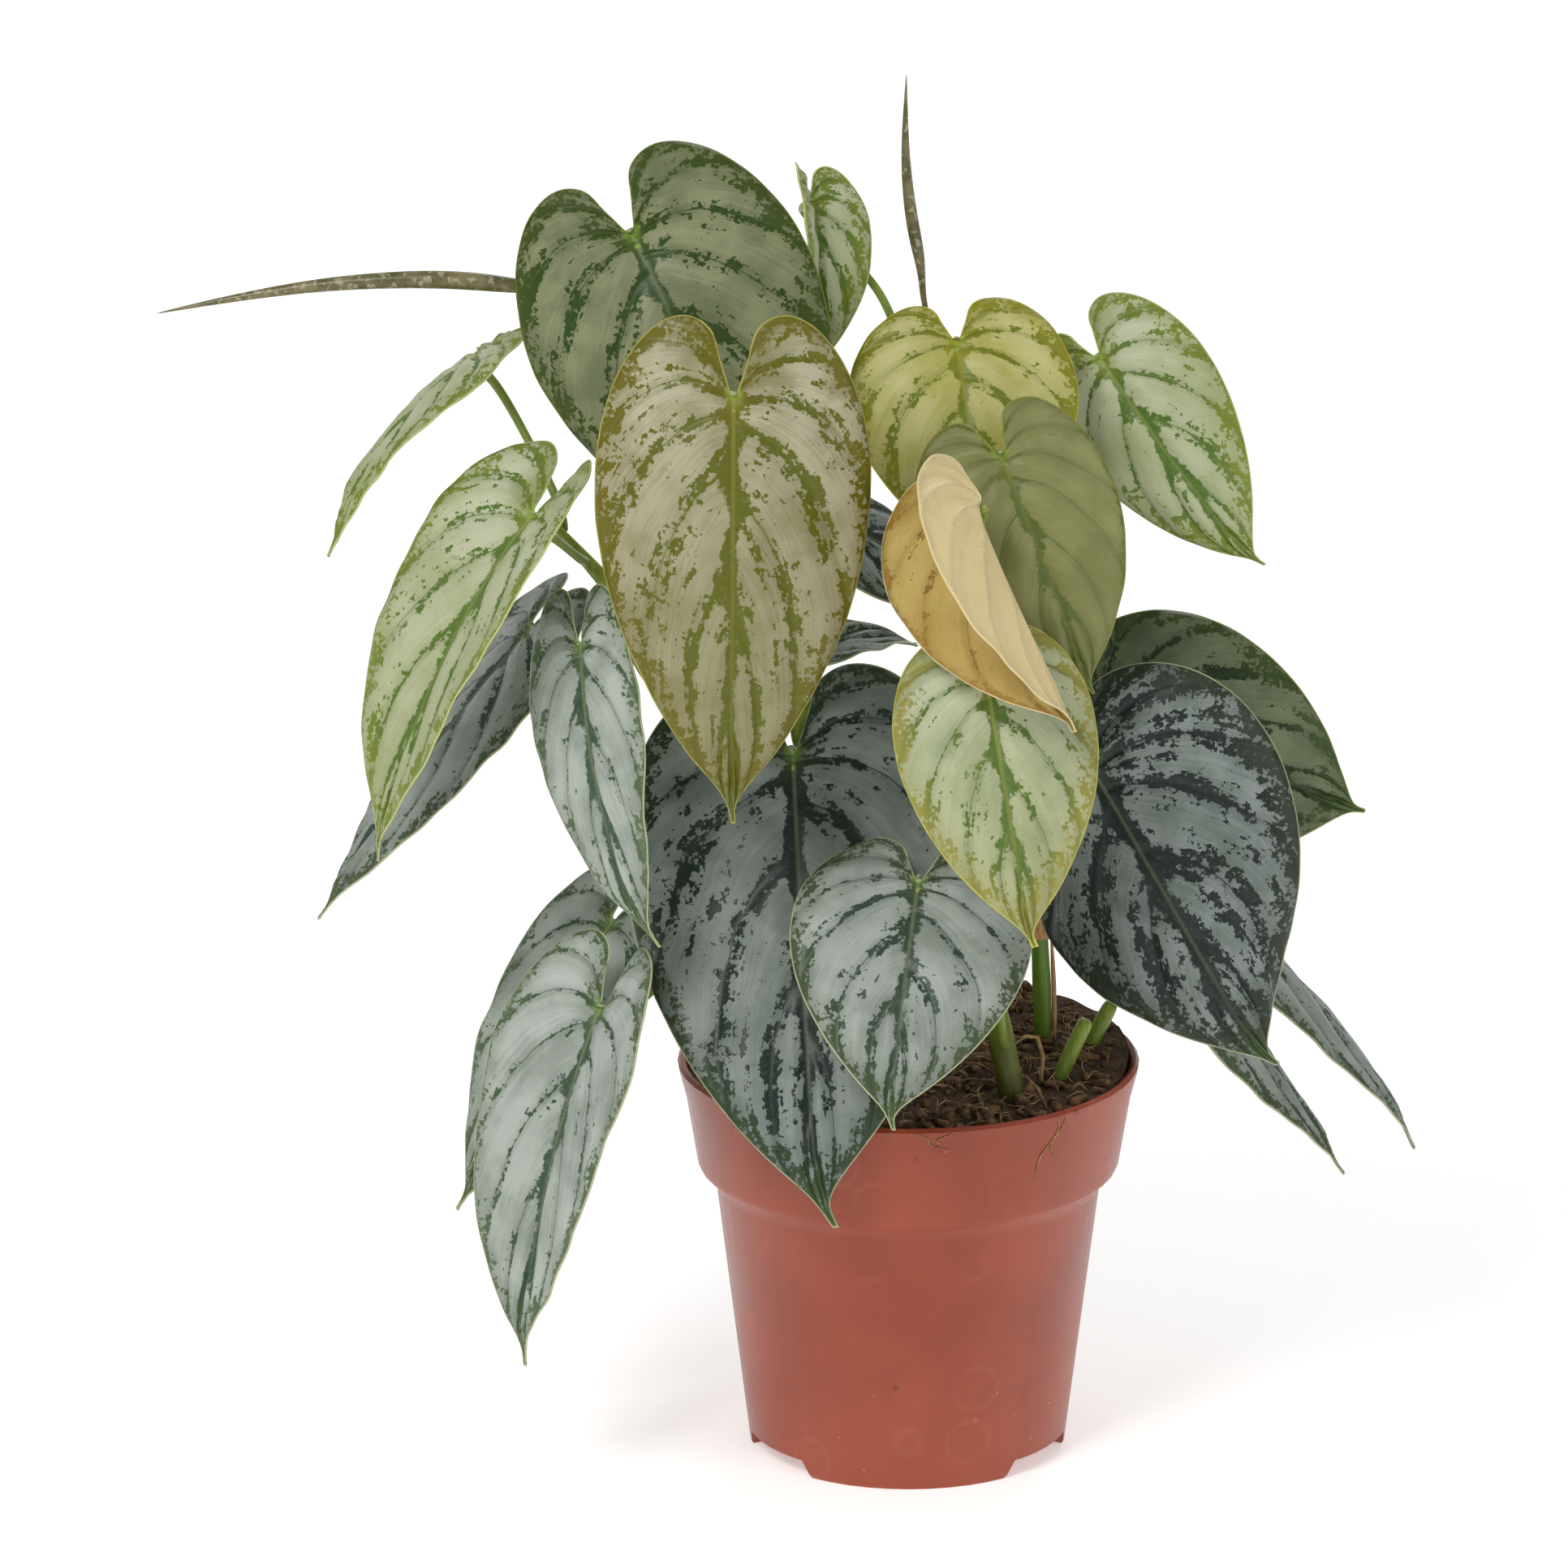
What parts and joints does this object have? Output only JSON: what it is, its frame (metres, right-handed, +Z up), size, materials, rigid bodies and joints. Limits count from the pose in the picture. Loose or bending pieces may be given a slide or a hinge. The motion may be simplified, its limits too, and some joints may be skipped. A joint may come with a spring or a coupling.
{
  "type": "potted philodendron",
  "caption": "Trailing philodendron with silver-splashed heart-shaped leaves in a round tapered nursery pot; stands on a table or shelf as a living decoration.",
  "frame": {"origin": "on the surface that the pot stands on, at the middle of the whole plant's footprint box; the pot's axis stands 31 mm towards +X and 20 mm towards +Y of it", "axes": "+Z up along the pot's axis; -Y is the front of the plant, the side that most leaves face; +X to the right seen from the front"},
  "size_m": [0.3284, 0.1648, 0.364],
  "materials": {
    "pot_plastic": "smooth glossy moulded plastic with dust and water marks",
    "potting_soil": "rough, fibrous, damp",
    "green_stem": "smooth satin plant tissue",
    "leaf_dark": "satin, silver patches between dark green veins",
    "leaf_green": "satin, pale silver-green patches between green veins",
    "leaf_olive": "satin, warm silver patches between olive veins",
    "leaf_yellow": "satin, yellow ochre ageing leaf with a cream underside",
    "new_leaf": "glossy, still rolled up",
    "dry_sheath": "dry, papery, ribbed"
  },
  "bodies": {
    "root": {"leaf_back_edge_blade": "leaf_dark", "leaf_back_edge_petiole": "green_stem", "leaf_back_green_blade": "leaf_green", "leaf_back_green_petiole": "green_stem", "leaf_centre_blade": "leaf_dark", "leaf_centre_petiole": "green_stem", "leaf_crown_blade": "leaf_green", "leaf_crown_petiole": "green_stem", "leaf_far_right_blade": "leaf_green", "leaf_far_right_petiole": "green_stem", "leaf_front_blade": "leaf_olive", "leaf_front_petiole": "green_stem", "leaf_high_left_blade": "leaf_green", "leaf_high_left_petiole": "green_stem", "leaf_left_blade": "leaf_green", "leaf_left_petiole": "green_stem", "leaf_left_small_blade": "leaf_dark", "leaf_left_small_petiole": "green_stem", "leaf_left_under_blade": "leaf_dark", "leaf_left_under_petiole": "green_stem", "leaf_low_front_blade": "leaf_dark", "leaf_low_front_petiole": "green_stem", "leaf_low_left_back_blade": "leaf_dark", "leaf_low_left_back_petiole": "green_stem", "leaf_low_left_blade": "leaf_dark", "leaf_low_left_petiole": "green_stem", "leaf_low_right_a_blade": "leaf_dark", "leaf_low_right_a_petiole": "green_stem", "leaf_low_right_b_blade": "leaf_dark", "leaf_low_right_b_petiole": "green_stem", "leaf_mid_back_blade": "leaf_dark", "leaf_mid_back_petiole": "green_stem", "leaf_mid_blade": "leaf_green", "leaf_mid_petiole": "green_stem", "leaf_olive_blade": "leaf_olive", "leaf_olive_petiole": "green_stem", "leaf_rear_left_blade": "leaf_olive", "leaf_rear_left_petiole": "green_stem", "leaf_right_back_blade": "leaf_green", "leaf_right_back_petiole": "green_stem", "leaf_right_blade": "leaf_dark", "leaf_right_petiole": "green_stem", "leaf_top_back_blade": "leaf_green", "leaf_top_back_petiole": "green_stem", "leaf_yellow_blade": "leaf_olive", "leaf_yellow_petiole": "green_stem", "leaf_young_blade": "leaf_yellow", "leaf_young_petiole": "green_stem", "pot": "pot_plastic", "sheath": "dry_sheath", "soil": "potting_soil", "spear_left": "new_leaf", "spear_top": "new_leaf", "stem_centre": "green_stem", "stem_rear": "green_stem", "stem_right": "green_stem", "stem_vine": "green_stem", "stub_front": "green_stem", "stub_rear": "green_stem"}
  },
  "joints": []
}
